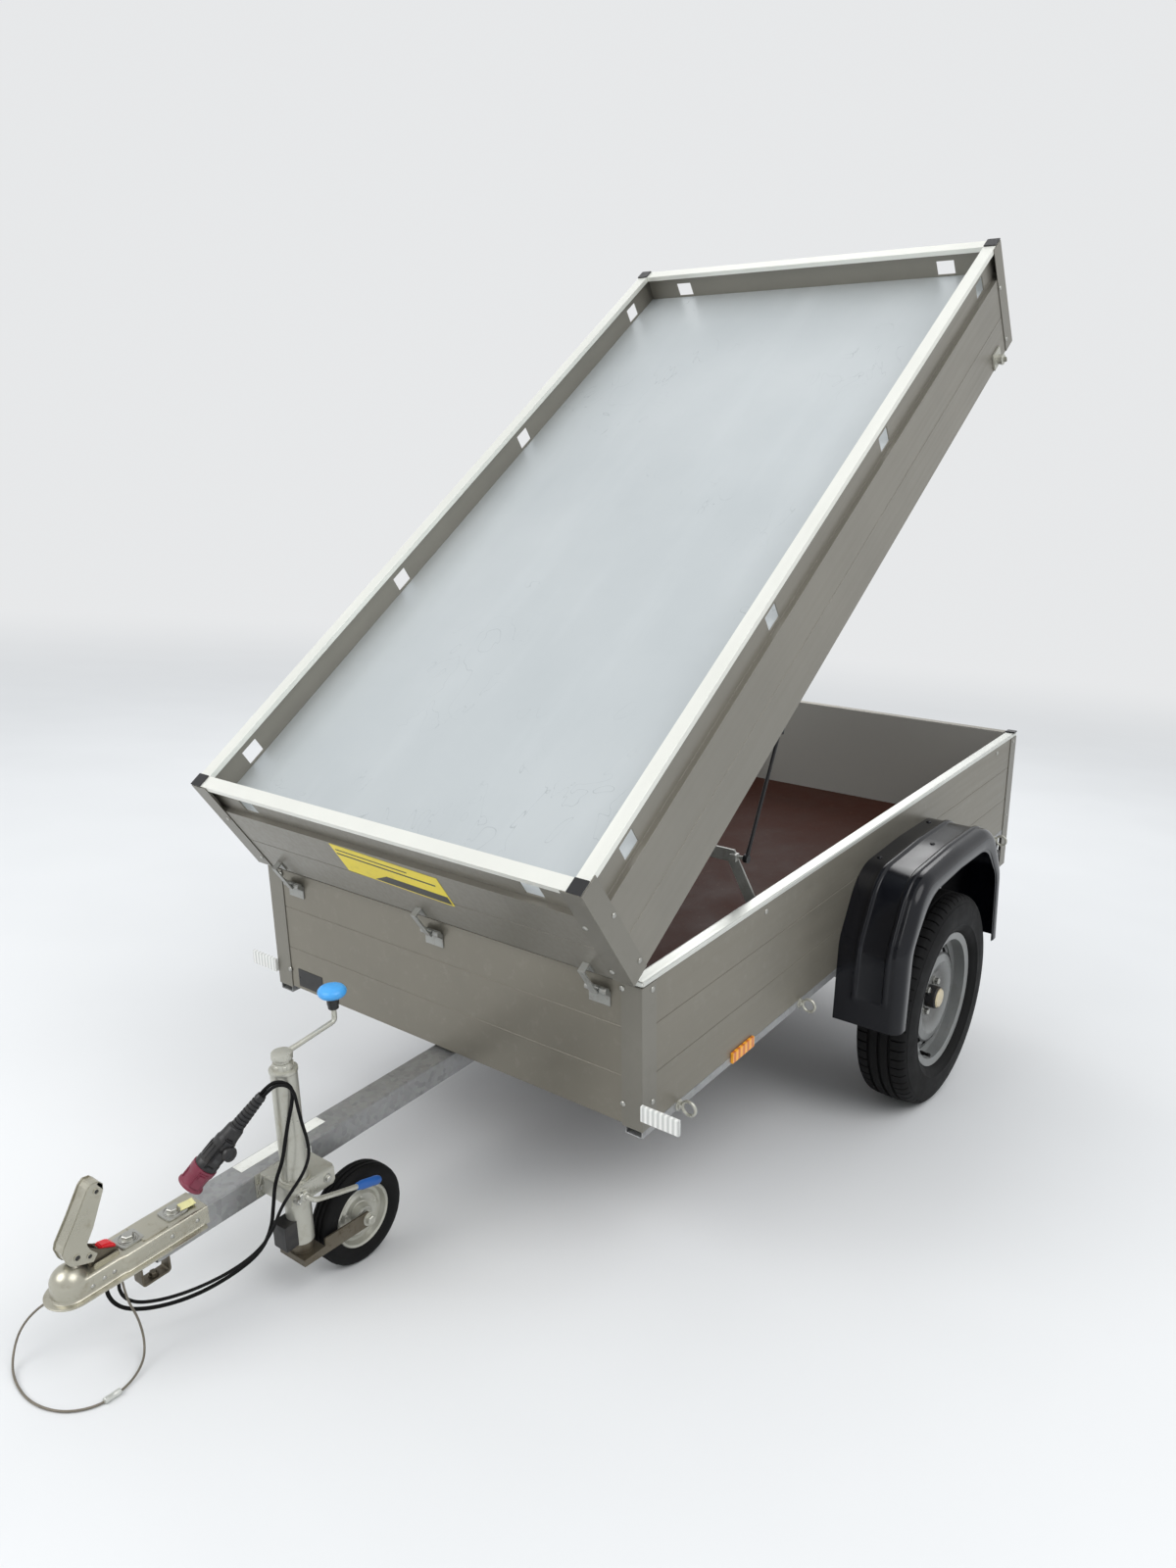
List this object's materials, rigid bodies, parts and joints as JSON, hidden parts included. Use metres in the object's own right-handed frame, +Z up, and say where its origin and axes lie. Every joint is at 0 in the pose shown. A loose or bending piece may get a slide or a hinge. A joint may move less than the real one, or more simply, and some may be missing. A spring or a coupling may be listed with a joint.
{
  "type": "single-axle utility trailer with lid",
  "caption": "Box trailer on one axle with a tray-shaped lid held open by gas struts, a drop tailgate, a ball coupling and a jockey wheel.",
  "frame": {"origin": "middle of the footprint on the floor, without the loose cables and plug", "axes": "+X towards the coupling, +Y to the trailer's left, +Z up; the trailer stands parked on its main wheels and jockey wheel, nose down"},
  "size_m": [2.9831, 1.4, 2.2003],
  "materials": {
    "galvanised_steel": "hot-dip galvanised, dull spangle",
    "zinc_steel": "yellowish zinc plate",
    "dark_steel": "dark coated",
    "black_steel": "black gloss paint",
    "hub_steel": "dark, greasy",
    "rim_steel": "silver paint",
    "panel_aluminium": "satin anodised",
    "bright_aluminium": "bright mill finish",
    "post_aluminium": "satin anodised",
    "sheet_aluminium": "smooth coated sheet",
    "floor_plywood": "phenolic-faced plywood",
    "tyre_rubber": "treaded rubber",
    "jockey_rubber": "solid rubber",
    "cable_rubber": "smooth sheath",
    "black_plastic": "moulded",
    "guard_plastic": "glossy, blue-black",
    "blue_plastic": "moulded",
    "red_plastic": "moulded",
    "white_plastic": "reflector, ribbed",
    "orange_plastic": "reflector, ribbed",
    "red_lens": "lamp lens"
  },
  "bodies": {
    "chassis": {"drawbar": "galvanised_steel", "side_rails": "galvanised_steel", "cross_members": "galvanised_steel", "axle_beam": "galvanised_steel", "axle_arms": "galvanised_steel", "mudguard_left": "guard_plastic", "mudguard_right": "guard_plastic", "panel_left": "panel_aluminium", "panel_right": "panel_aluminium", "panel_front": "panel_aluminium", "floor_board": "floor_plywood", "top_rails": "bright_aluminium", "corner_posts": "post_aluminium", "rear_caps": "black_plastic", "tailgate_hinges": "galvanised_steel", "hinge_bases": "galvanised_steel", "strut_hoop": "post_aluminium", "jockey_tube": "zinc_steel", "jockey_crank": "zinc_steel", "jockey_grips": "blue_plastic", "jockey_clamp": "zinc_steel", "jockey_lever": "zinc_steel", "coupling_body": "zinc_steel", "coupling_handle": "zinc_steel", "coupling_bracket": "galvanised_steel", "plug_cap": "red_plastic", "plug_body": "black_plastic", "harness_cable_lower": "cable_rubber", "harness_cable_upper": "cable_rubber", "safety_cable": "cable_rubber", "cable_holders": "black_plastic", "lashing_rings": "zinc_steel", "front_markers": "white_plastic", "side_reflectors": "orange_plastic", "lamp_bar": "galvanised_steel", "tail_lamps": "red_lens"},
    "wheel_left": {"tyre_left": "tyre_rubber", "rim_left": "rim_steel", "hub_left": "hub_steel"},
    "wheel_right": {"tyre_right": "tyre_rubber", "rim_right": "rim_steel", "hub_right": "hub_steel"},
    "tailgate": {"tailgate_panel": "panel_aluminium", "tailgate_leaves": "galvanised_steel"},
    "lid": {"lid_side_left": "panel_aluminium", "lid_side_right": "panel_aluminium", "lid_end_front": "panel_aluminium", "lid_end_rear": "panel_aluminium", "lid_sheet": "sheet_aluminium", "lid_posts": "post_aluminium", "lid_caps": "black_plastic", "lid_brackets": "dark_steel"},
    "strut_cylinder_left": {"strut_cylinder_left": "black_steel"},
    "strut_cylinder_right": {"strut_cylinder_right": "black_steel"},
    "strut_rod_left": {"strut_rod_left": "black_steel"},
    "strut_rod_right": {"strut_rod_right": "black_steel"},
    "jockey_leg": {"jockey_leg": "zinc_steel"},
    "jockey_wheel": {"jockey_tyre": "jockey_rubber", "jockey_rim": "zinc_steel"}
  },
  "joints": [
    {"name": "lid_hinge", "type": "hinge", "parent": "chassis", "child": "lid", "pos_m": [0.63801, 0, 0.58718], "axis": [0, -1, 0], "range_deg": [0, 33.4]},
    {"name": "tailgate_hinge", "type": "hinge", "parent": "chassis", "child": "tailgate", "pos_m": [-1.46138, 0, 0.6002], "axis": [0, -1, 0], "range_deg": [0, 175]},
    {"name": "strut_pivot_left", "type": "hinge", "parent": "lid", "child": "strut_cylinder_left", "pos_m": [-0.02896, 0.474, 1.35887], "axis": [0, -1, 0], "range_deg": [0, 27.35]},
    {"name": "strut_slide_left", "type": "slide", "parent": "strut_cylinder_left", "child": "strut_rod_left", "axis": [0.326, 0, -0.9454], "range_m": [-0.101, 0]},
    {"name": "strut_pivot_right", "type": "hinge", "parent": "lid", "child": "strut_cylinder_right", "pos_m": [-0.02896, -0.474, 1.35887], "axis": [0, -1, 0], "range_deg": [0, 27.35]},
    {"name": "strut_slide_right", "type": "slide", "parent": "strut_cylinder_right", "child": "strut_rod_right", "axis": [0.326, 0, -0.9454], "range_m": [-0.101, 0]},
    {"name": "jockey_slide", "type": "slide", "parent": "chassis", "child": "jockey_leg", "axis": [0.1419, 0, 0.9899], "range_m": [-0.2, 0.015]},
    {"name": "jockey_wheel_spin", "type": "hinge", "parent": "jockey_leg", "child": "jockey_wheel", "pos_m": [0.90054, 0.092, 0.1], "axis": [0, 1, 0], "continuous": true},
    {"name": "wheel_spin_left", "type": "hinge", "parent": "chassis", "child": "wheel_left", "pos_m": [-0.62262, 0.615, 0.285], "axis": [0, 1, 0], "continuous": true},
    {"name": "wheel_spin_right", "type": "hinge", "parent": "chassis", "child": "wheel_right", "pos_m": [-0.62262, -0.615, 0.285], "axis": [0, 1, 0], "continuous": true}
  ],
  "couplings": [
    {"joint": "strut_pivot_left", "follows": "lid_hinge", "ratio": 0.80276},
    {"joint": "strut_slide_left", "follows": "lid_hinge", "m_per_rad": -0.16986},
    {"joint": "strut_pivot_right", "follows": "lid_hinge", "ratio": 0.80276},
    {"joint": "strut_slide_right", "follows": "lid_hinge", "m_per_rad": -0.16986}
  ]
}
